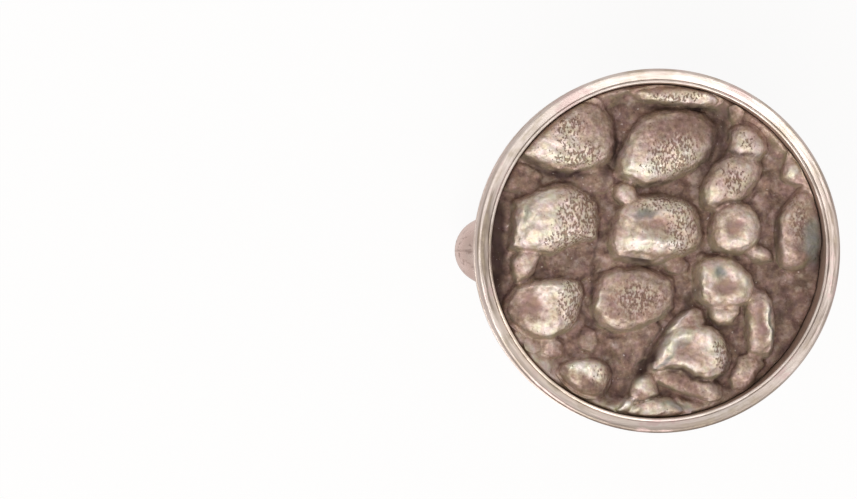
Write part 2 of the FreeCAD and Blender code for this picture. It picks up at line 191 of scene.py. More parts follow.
# %% Ridges and hollows
least_weight = 0.001
tallest_stroke = 0.45
wear_strokes = [
    (0.03, 0.15, 0.16, 0.05, 0, -0.12), (-0.08, 0.22, 0.07, 0.04, 20, -0.12),
    (-0.03, 0.06, 0.19, 0.03, -5, 0.14), (-0.02, -0.03, 0.18, 0.02, 0, -0.15),
    (0.46, 0.14, 0.09, 0.08, 0, -0.12), (-0.76, -0.32, 0.09, 0.08, 0, -0.14),
    (-0.80, 0.14, 0.12, 0.025, 62, -0.10), (-0.84, 0.16, 0.14, 0.025, 70, 0.10),
    (0.16, -0.57, 0.10, 0.05, 10, -0.12), (0.06, -0.55, 0.10, 0.03, 50, 0.10),
    (0.20, -0.745, 0.17, 0.018, -19, -0.24), (0.41, -0.21, 0.08, 0.07, 0, -0.13),
    (0.35, -0.13, 0.04, 0.04, 0, -0.08), (0.64, -0.43, 0.14, 0.02, 96, -0.10),
    (0.67, -0.43, 0.14, 0.012, 96, 0.08), (-0.50, 0.50, 0.16, 0.03, -8, -0.08),
    (0.00, 0.68, 0.10, 0.06, 30, -0.06), (-0.42, -0.70, 0.10, 0.015, 40, 0.06),
    (-0.36, -0.72, 0.10, 0.015, 50, -0.05), (0.04, -0.97, 0.14, 0.015, 8, 0.08),
    (0.41, -0.345, 0.09, 0.015, 0, -0.12), (-0.70, -0.20, 0.16, 0.03, 0, 0.32),
    (-0.19, -0.93, 0.09, 0.045, 25, 0.45), (0.15, -0.92, 0.07, 0.03, -22, 0.30),
    (-0.36, -0.29, 0.10, 0.015, 82, 0.10), (0.13, -0.415, 0.09, 0.012, 42, 0.14),
    (-0.50, -0.655, 0.12, 0.03, 15, 0.28), (-0.64, -0.55, 0.07, 0.06, 0, 0.22),
    (0.53, -0.82, 0.08, 0.03, 30, 0.20), (0.31, 0.93, 0.07, 0.025, -18, 0.22),
    (0.265, -0.17, 0.10, 0.02, 90, 0.20), (0.62, -0.01, 0.08, 0.03, -30, 0.15),
    (-0.25, -0.09, 0.06, 0.05, 0, 0.15), (0.25, -0.49, 0.10, 0.03, 5, 0.15),
    (0.83, 0.50, 0.05, 0.08, -35, 0.15),
]


def weigh(piece, name, weights):
    group = piece.vertex_groups.new(name=name)
    for index in np.nonzero(weights > least_weight)[0].tolist():
        group.add([index], float(weights[index]), "REPLACE")


def lift(piece, group, height):
    apply_modifier(piece, "DISPLACE", direction="Z", strength=height, mid_level=0, vertex_group=group)


worn = strokes(relief, wear_strokes) / tallest_stroke
weigh(relief, "raised", np.clip(worn, 0, 1))
weigh(relief, "hollowed", np.clip(-worn, 0, 1))
lift(relief, "raised", tallest_stroke * MM)
lift(relief, "hollowed", -tallest_stroke * MM)
print("highest point", round(float(points_of(relief.data)[:, 2].max() / MM), 3), "mm")

# %% [markdown]
# ## The floor between the pebbles
# A casting's floor is never flat: it climbs where the wax was pressed against the lip, and it is
# cobbled and lumpy. The climb could be sculpted, but a weight by distance from the middle does it
# evenly. It stops on two sides, where the lip throws the floor into shade.

# %% Bank the floor up towards the lip
floor_height = 1.7
pebble_height = 2.2
skirt_foot = 1.25
skirt_top = 1.45
bank_start = 0.90
bank_end = 0.98
bank_height = 0.60 * MM
shaded_bearings = ((170, 40), (335, 45))


def ramp(values, start, end):
    """0 at the start, 1 at the end, and straight between them."""
    return np.clip((values - start) / (end - start), 0, 1)


def bearing_gap(points, bearing):
    """How many degrees each point lies from a bearing, seen from the middle."""
    turn = np.degrees(np.arctan2(points[:, 1], points[:, 0])) - bearing
    return np.abs((turn + 180) % 360 - 180)


points = points_of(relief.data)
share_out = np.hypot(points[:, 0], points[:, 1]) / radius
rise = points[:, 2] / MM
bank = ramp(share_out, bank_start, bank_end)
bank = bank * ramp(rise, pebble_height, floor_height) * ramp(rise, skirt_foot, skirt_top)
for bearing, half_width in shaded_bearings:
    bank = bank * ramp(bearing_gap(points, bearing), half_width / 2, half_width)
weigh(relief, "bank", bank)
lift(relief, "bank", bank_height)
print("points on the bank:", int((bank > least_weight).sum()))

# %% [markdown]
# Clouds and Voronoi textures in Displace modifiers make the lumps, so no point is placed by hand.
# Vertex groups keep each texture where it belongs: the cells on the floor, and the lumps clear of the
# casting's edge, which mustn't grow into the lip.

# %% Lumps of the casting
def lumpy(piece, name, size, strength):
    texture = bpy.data.textures.new(name, "CLOUDS")
    texture.noise_scale = size
    texture.noise_depth = 2
    apply_modifier(
        piece, "DISPLACE", texture=texture, texture_coords="LOCAL", direction="NORMAL",
        strength=strength, mid_level=0.5, vertex_group="inside",
    )


points = points_of(relief.data)
reach = np.hypot(points[:, 0], points[:, 1])
weigh(relief, "inside", ramp(reach, radius - 0.08 * MM, radius - 0.33 * MM))
weigh(relief, "valley", ramp(points[:, 2] / MM, pebble_height, floor_height))
cells = bpy.data.textures.new("cobbled floor", "VORONOI")
cells.noise_scale = 1.0 * MM
apply_modifier(
    relief, "DISPLACE", texture=cells, texture_coords="LOCAL", direction="Z",
    strength=-0.40 * MM, mid_level=0.4, vertex_group="valley",
)
lumpy(relief, "broad lumps", 1.2 * MM, 0.20 * MM)
lumpy(relief, "small lumps", 0.42 * MM, 0.12 * MM)
print("widest point", round(float(np.hypot(*points_of(relief.data)[:, :2].T).max() / MM), 3), "mm out")

# %% [markdown]
# ## The back of the casting
# The remesh has rounded the back's edge, but the real back is sawn flat and sits on the plate.
# Filing it in sculpt mode would leave it wavy. A bisect cuts it off level, and the cut is extruded
# straight down to where the solid's back was.

# %% Close the hidden back
back_thickness = 0.4 * MM
edit(relief)
bpy.ops.mesh.bisect(
    plane_co=(0, 0, low.z + back_thickness), plane_no=(0, 0, 1),
    clear_inner=True, use_fill=True, threshold=1e-7,
)
bpy.ops.mesh.extrude_region_move(TRANSFORM_OT_translate={"value": (0, 0, -back_thickness)})
leave_edit()
print("relief has", len(relief.data.polygons), "faces after closing")

# %% [markdown]
# ## Paint for the casting
# The tops are rubbed bright, the hollows are stained, and some shoulders are pitted. The rubbing
# strokes also paint highlights and light up shaded places, and below zero they paint shade; the dirt
# strokes also paint shade in creases, between pebbles and along the lip. Vertex paint would do it
# by hand. Here more strokes of the same kind are stored as attributes on the points, which the
# material reads later. Such paint stays on the surface from every side.

# %% Where the tops are rubbed bright or painted light, and painted shade below zero
# Rubbing and painted light: these strokes also paint highlights and light up shaded places near the lip,
# and below zero they paint shade.
rubbing_and_light_strokes = [
    (-0.66, 0.60, 0.14, 0.07, -25, 1.0), (-0.38, 0.75, 0.12, 0.16, 60, -0.6),
    (-0.12, 0.47, 0.16, 0.06, 15, 1.0), (0.10, 0.72, 0.24, 0.11, 10, -1.0),
    (-0.17, 0.62, 0.12, 0.025, 65, 0.6), (0.16, 0.91, 0.24, 0.03, 0, 0.8),
    (0.54, 0.60, 0.09, 0.05, 0, 0.8), (0.33, 0.33, 0.12, 0.04, 60, 0.7),
    (-0.77, 0.24, 0.12, 0.06, 55, 0.4), (-0.66, 0.06, 0.18, 0.06, 0, 0.8),
    (-0.42, 0.25, 0.06, 0.14, 0, -0.6), (-0.03, 0.03, 0.20, 0.05, 0, 1.2),
    (0.02, 0.27, 0.18, 0.03, 0, 0.7), (0.00, 0.15, 0.13, 0.04, 0, -0.5),
    (0.47, 0.03, 0.12, 0.04, 15, 0.7), (0.46, 0.14, 0.07, 0.06, 0, -0.5),
    (-0.60, -0.24, 0.12, 0.05, 0, 0.6), (-0.66, -0.45, 0.14, 0.04, 0, 0.8),
    (-0.77, -0.33, 0.06, 0.06, 0, -0.6), (-0.12, -0.28, 0.22, 0.14, 0, -0.5),
    (-0.31, -0.37, 0.12, 0.025, 110, 0.7), (-0.46, -0.70, 0.12, 0.05, 10, 1.0),
    (0.08, -0.54, 0.14, 0.08, 60, 1.2), (0.33, -0.60, 0.08, 0.10, 0, 0.8),
    (0.16, -0.585, 0.06, 0.04, 0, -0.8), (0.35, -0.15, 0.10, 0.04, 75, 1.0),
    (0.50, -0.15, 0.10, 0.03, -45, 1.0), (0.40, -0.21, 0.06, 0.05, 0, -0.6),
    (0.41, -0.40, 0.09, 0.04, 0, 0.8), (0.665, -0.42, 0.12, 0.013, 97, 1.5),
    (0.90, 0.10, 0.08, 0.30, 0, -1.0), (0.12, -0.41, 0.10, 0.03, 45, 0.8),
    (-0.09, -0.80, 0.06, 0.05, 0, 0.9), (-0.05, -0.95, 0.18, 0.03, 5, 1.0),
    (0.15, -0.82, 0.16, 0.04, -20, 0.4), (-0.78, -0.08, 0.05, 0.09, 0, 0.5),
    (-0.19, 0.345, 0.06, 0.05, 0, 0.5), (0.84, 0.45, 0.06, 0.06, 0, 0.5),
    (-0.48, -0.06, 0.12, 0.08, 0, -0.8), (0.85, -0.30, 0.10, 0.16, 0, -0.6),
    (0.72, -0.05, 0.08, 0.10, 0, -0.5), (0.14, 0.73, 0.20, 0.08, 0, -0.8),
    (-0.57, 0.55, 0.10, 0.04, 10, -0.4), (0.53, 0.575, 0.06, 0.035, 0, -1.6),
    (0.35, 0.37, 0.03, 0.06, -20, -0.8), (-0.08, 0.22, 0.06, 0.03, 0, -1.0),
    (0.08, 0.20, 0.05, 0.03, 0, -0.9), (-0.14, 0.15, 0.04, 0.05, 0, -0.5),
    (-0.02, -0.015, 0.13, 0.025, 0, -1.2), (0.91, 0.06, 0.07, 0.14, 0, -1.3),
    (-0.77, -0.27, 0.06, 0.03, 0, -0.8), (-0.75, -0.41, 0.06, 0.03, 0, -0.8),
    (-0.24, -0.34, 0.12, 0.09, -10, -1.2), (-0.08, -0.25, 0.15, 0.10, 0, -0.5),
    (0.17, -0.25, 0.03, 0.06, 0, -1.0), (0.37, -0.13, 0.03, 0.03, 0, -0.9),
    (0.33, -0.26, 0.03, 0.04, 0, -0.8), (0.20, -0.42, 0.07, 0.03, 20, -0.9),
    (0.61, -0.44, 0.035, 0.13, 4, -1.5), (0.07, -0.65, 0.05, 0.03, 0, -0.9),
    (0.16, -0.79, 0.14, 0.03, -25, -1.4), (0.30, -0.67, 0.04, 0.04, 0, -0.7),
    (-0.46, -0.69, 0.09, 0.04, -10, 0.8), (-0.39, -0.74, 0.05, 0.05, 0, 0.9),
    (-0.10, -0.86, 0.05, 0.03, 0, -0.8), (-0.55, -0.06, 0.14, 0.06, 0, -0.4),
    (-0.66, 0.33, 0.07, 0.03, 20, 1.0), (-0.77, -0.20, 0.06, 0.025, 0, 1.2),
    (-0.60, -0.18, 0.12, 0.025, 0, 1.0), (-0.66, -0.56, 0.06, 0.08, 0, 0.7),
    (-0.19, -0.93, 0.06, 0.04, 20, 1.6), (0.15, -0.92, 0.06, 0.03, -20, 1.2),
    (0.32, 0.93, 0.06, 0.03, -15, 1.2), (0.25, -0.49, 0.08, 0.03, 0, 0.9),
    (0.84, 0.50, 0.06, 0.08, -40, 0.8), (0.90, 0.33, 0.05, 0.06, 0, 0.6),
    (0.50, -0.83, 0.12, 0.04, 30, -0.5), (-0.10, 0.80, 0.07, 0.04, 30, 0.5),
    (0.48, 0.83, 0.05, 0.05, 0, 0.6), (0.50, -0.05, 0.06, 0.04, 0, 0.6),
    (-0.25, -0.10, 0.06, 0.05, 0, 0.6), (0.57, 0.22, 0.03, 0.06, 0, 0.5),
    (0.67, -0.42, 0.10, 0.012, 94, 0.9), (-0.36, -0.29, 0.10, 0.014, 82, 1.2),
    (-0.28, -0.42, 0.08, 0.015, -25, 0.9), (0.13, -0.415, 0.09, 0.015, 42, 1.2),
    (-0.50, -0.655, 0.12, 0.03, 15, 0.9), (0.265, -0.17, 0.10, 0.02, 90, 0.8),
    (-0.19, 0.66, 0.14, 0.025, 75, 0.6), (0.62, -0.01, 0.08, 0.03, -30, 0.6),
    (0.03, -0.57, 0.12, 0.02, 60, 0.8), (-0.05, -0.65, 0.04, 0.10, -10, -0.8),
    (0.02, -0.45, 0.06, 0.04, 20, -0.6), (-0.20, -0.62, 0.10, 0.06, 0, -0.5),
    (-0.20, 0.90, 0.10, 0.04, 0, -0.6), (0.22, 0.44, 0.05, 0.04, 0, -0.5),
    (-0.56, -0.05, 0.10, 0.05, 0, -0.5), (-0.62, -0.36, 0.06, 0.10, 0, -0.4),
    (0.95, 0.05, 0.05, 0.20, 0, -0.5), (-0.68, -0.67, 0.20, 0.05, -45, 1.7),
    (-0.36, -0.91, 0.14, 0.03, -22, 1.0), (0.47, 0.83, 0.14, 0.06, -30, -1.1),
    (-0.88, 0.05, 0.04, 0.25, 0, 0.7), (-0.19, -0.93, 0.08, 0.04, 20, 1.6),
    (0.16, -0.93, 0.08, 0.03, -20, 0.9), (0.00, 0.15, 0.15, 0.03, 0, -0.9),
    (-0.05, 0.06, 0.17, 0.03, -3, 0.5), (0.46, 0.14, 0.05, 0.045, 0, -1.3),
    (0.42, -0.22, 0.06, 0.045, 0, -1.3), (0.35, -0.13, 0.03, 0.03, 0, -1.2),
    (0.16, -0.56, 0.04, 0.03, 10, -1.0), (0.23, -0.63, 0.08, 0.05, 0, -0.7),
    (-0.76, -0.32, 0.055, 0.05, 0, -1.1), (0.64, -0.43, 0.10, 0.02, 96, -0.8),
    (-0.45, -0.775, 0.14, 0.035, -35, -1.7), (0.14, -0.805, 0.15, 0.03, -22, -0.9),
    (0.45, 0.215, 0.05, 0.025, 0, -0.9), (0.79, 0.10, 0.025, 0.08, 0, -0.8),
    (-0.12, 0.55, 0.04, 0.06, 0, -0.6), (0.05, 0.72, 0.08, 0.06, 0, -0.4),
    (-0.81, -0.48, 0.05, 0.05, 0, 0.9), (-0.83, -0.38, 0.03, 0.03, 0, -0.6),
    (-0.68, 0.33, 0.08, 0.035, 20, 0.6), (-0.15, -0.385, 0.20, 0.025, 0, -0.7),
    (-0.10, -0.86, 0.04, 0.03, 0, -0.5), (-0.05, -0.93, 0.05, 0.02, 0, -0.6),
    (0.13, -0.69, 0.09, 0.02, -15, 0.9), (-0.36, -0.83, 0.10, 0.045, -10, -1.5),
    (-0.29, -0.76, 0.05, 0.09, 0, -1.3), (-0.58, -0.72, 0.03, 0.08, 20, -1.2),
    (-0.44, -0.70, 0.06, 0.012, 70, 1.2), (-0.40, -0.72, 0.05, 0.010, 100, 1.2),
    (-0.36, -0.71, 0.04, 0.010, 60, 1.2), (-0.11, -0.80, 0.03, 0.04, 0, 1.2),
    (-0.05, -0.895, 0.12, 0.012, 10, 1.2), (-0.12, -0.27, 0.20, 0.13, 0, -0.6),
    (0.44, 0.43, 0.10, 0.10, 0, -0.6), (0.12, 0.72, 0.22, 0.10, 10, -0.5),
    (-0.40, 0.72, 0.10, 0.16, 30, -0.6), (-0.78, -0.38, 0.10, 0.08, 0, -0.7),
    (-0.52, -0.83, 0.16, 0.03, -33, 0.5), (-0.56, -0.74, 0.04, 0.05, 0, -0.9),
    (-0.86, -0.36, 0.04, 0.10, 0, -1.0), (-0.80, -0.46, 0.09, 0.03, -35, -1.2),
    (0.85, 0.15, 0.06, 0.22, 0, -0.8), (-0.66, 0.18, 0.16, 0.12, 0, 0.35),
    (0.85, -0.45, 0.07, 0.10, 0, 0.8), (-0.50, 0.68, 0.10, 0.06, 20, 0.5),
]
print(len(rubbing_and_light_strokes), "strokes of rubbing")

# %% Where the casting is pitted
pit_strokes = [
    (-0.47, 0.57, 0.14, 0.07, 0, 1.0), (-0.53, 0.74, 0.12, 0.08, 30, 0.8),
    (0.08, 0.56, 0.18, 0.12, 20, 1.0), (-0.46, 0.20, 0.14, 0.18, 0, 1.0),
    (-0.57, 0.05, 0.14, 0.06, 0, 0.8), (0.15, 0.10, 0.10, 0.14, 0, 0.9), (0.05, 0.28, 0.18, 0.05, 0, 0.9),
    (-0.52, -0.30, 0.08, 0.18, 0, 1.0), (-0.12, -0.28, 0.20, 0.14, 0, 0.55),
    (0.38, -0.62, 0.05, 0.14, 0, 0.9), (0.84, 0.20, 0.08, 0.20, 0, 0.45),
    (0.46, 0.42, 0.10, 0.12, 0, 0.7), (0.54, 0.66, 0.08, 0.08, 0, 0.5), (0.12, 0.92, 0.20, 0.04, 0, 0.7),
    (-0.36, -0.74, 0.10, 0.08, 0, 0.5),
]
print(len(pit_strokes), "pitted places")

# %% Dirt in the creases, and painted shade in creases, between pebbles and along the lip
# Dirt and painted shade: these strokes darken creases, the shade between pebbles and the band along the
# lip on the left and right.
dirt_and_shade_strokes = [
    (-0.74, 0.52, 0.09, 0.018, -38, 0.6), (-0.60, 0.465, 0.10, 0.022, -8, 1.0),
    (-0.47, 0.455, 0.06, 0.02, 8, 0.8), (-0.955, 0.05, 0.045, 0.32, 0, 1.3),
    (-0.25, 0.62, 0.10, 0.015, 80, 0.7), (0.41, 0.70, 0.14, 0.025, 80, 0.7),
    (0.10, 0.86, 0.25, 0.015, -2, 0.6), (0.00, 0.405, 0.12, 0.012, 5, 0.6),
    (0.50, 0.585, 0.10, 0.018, -5, 0.7), (0.40, 0.29, 0.10, 0.015, 10, 0.6),
    (-0.10, -0.06, 0.10, 0.02, -15, 0.7), (0.20, -0.30, 0.10, 0.025, 60, 0.7),
    (0.42, -0.46, 0.08, 0.018, 0, 0.7), (0.21, -0.75, 0.16, 0.013, -19, 0.9),
    (-0.07, -0.70, 0.10, 0.025, 60, 0.8), (-0.20, -0.83, 0.08, 0.02, 60, 0.6),
    (0.735, 0.10, 0.02, 0.14, 0, 0.6), (0.40, -0.72, 0.12, 0.025, 70, 0.6),
    (-0.40, -0.42, 0.10, 0.015, -50, 0.6), (-0.72, -0.14, 0.08, 0.012, 30, 0.6),
    (-0.37, 0.00, 0.10, 0.010, 80, 0.6), (-0.39, -0.20, 0.12, 0.012, 85, 0.6),
    (0.76, -0.35, 0.03, 0.20, 0, 0.35), (-0.03, -0.875, 0.10, 0.012, 12, 0.7),
    (0.33, 0.62, 0.26, 0.05, 72, 0.45), (-0.27, 0.60, 0.25, 0.04, 80, 0.35),
    (0.02, -0.55, 0.25, 0.03, 60, 0.45), (0.955, -0.02, 0.035, 0.14, 0, 0.6),
]
print(len(dirt_and_shade_strokes), "dirty creases")

# %% Grey and rosy stains
grey_strokes = [
    (0.365, -0.128, 0.045, 0.045, 0, 1.0), (0.15, -0.55, 0.06, 0.03, 20, 0.6),
    (-0.08, 0.225, 0.08, 0.035, 0, 0.9), (0.94, 0.07, 0.06, 0.15, 0, 0.8),
    (0.10, -0.93, 0.11, 0.02, -10, 0.7), (0.685, -0.45, 0.12, 0.012, 96, 0.8),
    (-0.79, 0.22, 0.08, 0.02, 55, 0.6), (0.04, -0.66, 0.08, 0.015, 45, 0.8),
]
rosy_strokes = [
    (-0.76, -0.32, 0.065, 0.06, 0, 1.0), (0.46, 0.14, 0.06, 0.05, 0, 0.9),
    (0.42, -0.22, 0.085, 0.05, 0, 1.0), (0.22, -0.63, 0.10, 0.05, -10, 0.5),
    (0.05, 0.15, 0.14, 0.03, -3, 0.8), (-0.20, -0.33, 0.12, 0.10, 0, 0.6),
    (0.02, 0.63, 0.10, 0.05, 15, 0.8), (0.615, -0.43, 0.03, 0.13, 5, 0.9),
    (-0.52, 0.74, 0.14, 0.06, 20, 0.5), (0.84, 0.30, 0.05, 0.10, 0, 0.5),
    (0.43, 0.44, 0.06, 0.06, 0, 0.6),
]
print(len(grey_strokes), "grey stains and", len(rosy_strokes), "rosy stains")

# %% [markdown]
# Three more attributes come from the shape itself: how steep the surface is, whether it faces the
# lamp's lower side, which paints light on slopes, and how far it stands out from a smoothed copy,
# which finds edges and creases for a painted edge highlight and painted crease shade.

# %% Store the paint on the points
ease_rounds = 12
stand_height = 0.055 * MM
# The way towards the lamp, down and a little to the left.
lamp_side_way = np.array((-0.35, -0.94, 0))


def store(piece, name, values):
    attribute = piece.data.attributes.new(name, "FLOAT", "POINT")
    attribute.data.foreach_set("value", values.astype(np.float32))


def stand_out(piece, rounds):
    """How far each point stands above a smoothed copy of the piece."""
    select_only(piece)
    modifier = piece.modifiers.new("ease", "SMOOTH")
    modifier.factor = 0.5
    modifier.iterations = rounds
    graph = bpy.context.evaluated_depsgraph_get()
    eased = points_of(piece.evaluated_get(graph).to_mesh())
    piece.modifiers.remove(modifier)
    return points_of(piece.data)[:, 2] - eased[:, 2]


normals = np.empty(len(relief.data.vertices) * 3, np.float32)
relief.data.vertex_normals.foreach_get("vector", normals)
normals = normals.reshape(-1, 3)
store(relief, "steep", 1 - normals[:, 2])
# Painted light: how much a point faces the lamp's side; the material tints lit slopes with it.
store(relief, "lamp_side", normals @ lamp_side_way)
store(relief, "rubbed", strokes(relief, rubbing_and_light_strokes, crisp=2.0))
store(relief, "pitted", strokes(relief, pit_strokes))
# Dirt and painted shade from the strokes above.
store(relief, "dirty", strokes(relief, dirt_and_shade_strokes, crisp=1.3))
store(relief, "greyed", strokes(relief, grey_strokes, crisp=2.0))
store(relief, "rosy", strokes(relief, rosy_strokes, crisp=2.0))
store(relief, "fine_stand", stand_out(relief, ease_rounds) / stand_height)
select_only(relief)
bpy.ops.object.shade_smooth()
finish_piece(relief, "head", "relief_plate")

# %% [markdown]
# ## The rim and the lip
# The real rim is a turned ring whose top falls a little inwards, filed and polished by hand, so it
# has no sharp edge. A torus would be too round. Here a flat section stands on its edge, one corner
# is pulled down, corners are bevelled, and the outline is spun round the cufflink's middle. The thin
# lip inside it is made in the same way.

# %% Stand the two sections on their edge
rim_low, rim_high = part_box("bezel_ring")
lip_low, lip_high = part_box("liner_ring")
rim_fall = 0.08 * MM
lip_clearance = 0.03 * MM
lip_bore = radius + lip_clearance


def ring_section(name, inner, outer, foot, top):
    bpy.ops.object.select_all(action="DESELECT")
    middle = ((inner + outer) / 2, 0, (foot + top) / 2)
    bpy.ops.mesh.primitive_plane_add(size=1, location=middle, rotation=(math.pi / 2, 0, 0))
    ring = bpy.context.active_object
    ring.name = name
    ring.data.name = name
    ring.scale = (outer - inner, top - foot, 1)
    bpy.ops.object.transform_apply(location=True, rotation=True, scale=True)
    return ring


def pick_corner(piece, place):
    edit(piece, "DESELECT")
    bpy.ops.mesh.select_mode(type="VERT")
    leave_edit()
    for vertex in piece.data.vertices:
        vertex.select = (vertex.co - Vector(place)).length < same_point
    bpy.ops.object.mode_set(mode="EDIT")


rim = ring_section("polished_rim", lip_high.x, rim_high.x, rim_low.z, rim_high.z)
pick_corner(rim, (lip_high.x, 0, rim_high.z))
bpy.ops.transform.translate(value=(0, 0, -rim_fall))
leave_edit()
lip = ring_section("inner_lip", lip_bore, lip_high.x, lip_low.z, lip_high.z)
for ring in (rim, lip):
    print(ring.name, "section", [round(side / MM, 2) for side in ring.dimensions], "mm")

# %% Round the corners and spin the sections
corner_steps = 8
ring_steps = 256
smooth_below = math.radians(40)
rim_corners = [
    (lip_high.x, rim_high.z - rim_fall, 0.05 * MM),
    (rim_high.x, rim_high.z, 0.16 * MM),
    (rim_high.x, rim_low.z, 0.12 * MM),
]
lip_corners = [
    (lip_bore, lip_high.z, 0.06 * MM),
    (lip_high.x, lip_high.z, 0.04 * MM),
]


def round_corners(ring, corners):
    for reach, height, size in corners:
        pick_corner(ring, (reach, 0, height))
        bpy.ops.mesh.bevel(offset=size, segments=corner_steps, profile=0.5, affect="VERTICES")
        leave_edit()


def spin_round(ring):
    edit(ring)
    bpy.ops.mesh.delete(type="ONLY_FACE")
    bpy.ops.mesh.select_all(action="SELECT")
    bpy.ops.mesh.spin(steps=ring_steps, angle=2 * math.pi, center=(0, 0, 0), axis=(0, 0, 1))
    bpy.ops.mesh.select_all(action="SELECT")
    bpy.ops.mesh.remove_doubles(threshold=same_point)
    bpy.ops.mesh.normals_make_consistent(inside=False)
    leave_edit()
    select_only(ring)
    bpy.ops.object.shade_smooth_by_angle(angle=smooth_below)


for ring, corners in ((rim, rim_corners), (lip, lip_corners)):
    round_corners(ring, corners)
    spin_round(ring)
finish_piece(rim, "head", "bezel_ring")
finish_piece(lip, "head", "liner_ring")

# %% [markdown]
# ## Node trees
# A finish is a tree of nodes. It could be clicked together in the shader editor. In a script, a
# few helpers that add a node, set its values and join it in one call keep a tree readable.

# %% A helper that grows a node tree
class Tree:
    """Adds nodes to a tree and joins them in one call."""

    def __init__(self, tree):
        self.tree = tree

    def join(self, value, socket):
        if isinstance(value, bpy.types.NodeSocket):
            self.tree.links.new(value, socket)
        else:
            socket.default_value = value

    def add(self, kind, settings=(), **inputs):
        """Inputs go by name, or by number as i0, i1 and so on."""
        node = self.tree.nodes.new(kind)
        for key, value in dict(settings).items():
            setattr(node, key, value)
        for key, value in inputs.items():
            which = int(key[1:]) if key[1:].isdigit() else key.replace("_", " ")
            self.join(value, node.inputs[which])
        return node

    def place(self):
        return self.add("ShaderNodeTexCoord").outputs["Object"]

    def axis(self, where, letter):
        return self.add("ShaderNodeSeparateXYZ", i0=where).outputs[letter]

    def vector(self, operation, a, b=(0.0, 0.0, 0.0)):
        return self.add("ShaderNodeVectorMath", {"operation": operation}, i0=a, i1=b).outputs["Vector"]

    def measure(self, operation, a, b=(0.0, 0.0, 0.0)):
        return self.add("ShaderNodeVectorMath", {"operation": operation}, i0=a, i1=b).outputs["Value"]

    def math(self, operation, a, b=0.0, clamp=False):
        settings = {"operation": operation, "use_clamp": clamp}
        return self.add("ShaderNodeMath", settings, i0=a, i1=b).outputs[0]

    def plus(self, a, b):
        return self.math("ADD", a, b)

    def minus(self, a, b):
        return self.math("SUBTRACT", a, b)

    def times(self, first, *others):
        for other in others:
            first = self.math("MULTIPLY", first, other)
        return first

    def absolute(self, value):
        return self.math("ABSOLUTE", value)

    def larger(self, a, b):
        return self.math("MAXIMUM", a, b)

    def band(self, value, start, end, low=0.0, high=1.0):
        """A soft step from low at the start to high at the end."""
        settings = {"interpolation_type": "SMOOTHSTEP"}
        node = self.add("ShaderNodeMapRange", settings, i0=value, i1=start, i2=end, i3=low, i4=high)
        return node.outputs[0]

    def mix(self, factor, a, b):
        """A Mix node keeps its colour sockets after those for numbers and vectors."""
        node = self.add("ShaderNodeMix", {"data_type": "RGBA"}, i0=factor)
        for socket, value in ((node.inputs[6], a), (node.inputs[7], b)):
            self.join((*value, 1) if isinstance(value, tuple) else value, socket)
        return node.outputs[2]

    def noise(self, where, scale, detail=3.0, roughness=0.5):
        inputs = {"Vector": where, "Scale": scale, "Detail": detail, "Roughness": roughness}
        return self.add("ShaderNodeTexNoise", **inputs).outputs["Fac"]

    def stretched(self, where, scale, turn):
        return self.add("ShaderNodeMapping", Vector=where, Scale=scale, Rotation=turn).outputs[0]


print("helpers:", ", ".join(name for name in vars(Tree) if not name.startswith("_")))

# %% [markdown]
# ## Marks of handling
# Silver that is worn has clouds of tarnish, and fine scratches in every direction. Each material
# could have its own nodes for that, but one node group keeps them alike. It puts out masks and a
# height, and each material decides what they do to it.

# %% The marks of handling, shared by all silver
scratch_turns = ((0.3, 0.2, 0.5), (0.1, 0.9, 2.0), (1.1, 0.4, 1.2))
scratch_stretch = (260, 9000, 2600)


def new_group(name, inputs, outputs):
    tree = bpy.data.node_groups.new(name, "ShaderNodeTree")
    for socket, default in inputs.items():
        made = tree.interface.new_socket(socket, in_out="INPUT", socket_type="NodeSocketFloat")
        made.default_value = default
    for socket in outputs:
        tree.interface.new_socket(socket, in_out="OUTPUT", socket_type="NodeSocketFloat")
    build = Tree(tree)
    source = build.add("NodeGroupInput")
    sink = build.add("NodeGroupOutput")
    return tree, build, source, sink


def report_tree(name, build):
    print(name, "has", len(build.tree.nodes), "nodes")


handling, build, source, sink = new_group(
    "handling marks", {"Scratches": 1.0}, ["Tarnish", "Dull", "Height"]
)
place = build.place()
tarnish = build.band(build.noise(place, 420.0, detail=4.0, roughness=0.55), 0.38, 0.70)
scratched = None
for turn in scratch_turns:
    line = build.noise(build.stretched(place, scratch_stretch, turn), 1.0, detail=2.0)
    line = build.band(line, 0.66, 0.78)
    scratched = line if scratched is None else build.larger(scratched, line)
scratches = build.times(scratched, source.outputs["Scratches"])
wave = build.noise(place, 900.0, detail=2.0)
grain = build.noise(place, 9000.0, detail=2.0)
height = build.plus(build.times(scratches, -0.10), wave)
height = build.plus(height, build.times(grain, 0.05))
dull = build.math("ADD", build.times(tarnish, 0.6), build.times(scratches, 0.4), clamp=True)
build.join(tarnish, sink.inputs["Tarnish"])
build.join(dull, sink.inputs["Dull"])
build.join(height, sink.inputs["Height"])
report_tree("handling marks", build)

# %% [markdown]
# ## Turned streaks
# A lathe and a polishing cloth leave streaks that run along a ring. A stretched texture would run
# straight on past the ring. A noise in four dimensions bends with it: three of them follow the
# heading from the middle, and the fourth goes quickly across the ring.

# %% The streaks that turning and rubbing leave along a ring
streak_runs = 3.0
streak_pitch = 5200.0
turned, build, _, sink = new_group("turned streaks", {}, ["Streak"])
place = build.place()
flat = build.vector("MULTIPLY", place, (1.0, 1.0, 0.0))
heading = build.vector("NORMALIZE", flat)
around = build.vector("MULTIPLY", heading, (streak_runs, streak_runs, streak_runs))
across = build.minus(build.axis(place, "Z"), build.measure("LENGTH", flat))
streak = build.add(
    "ShaderNodeTexNoise", {"noise_dimensions": "4D"}, Vector=around,
    W=build.times(across, streak_pitch), Scale=1.0, Detail=3.0, Roughness=0.55,
)
build.join(streak.outputs["Fac"], sink.inputs["Streak"])
report_tree("turned streaks", build)

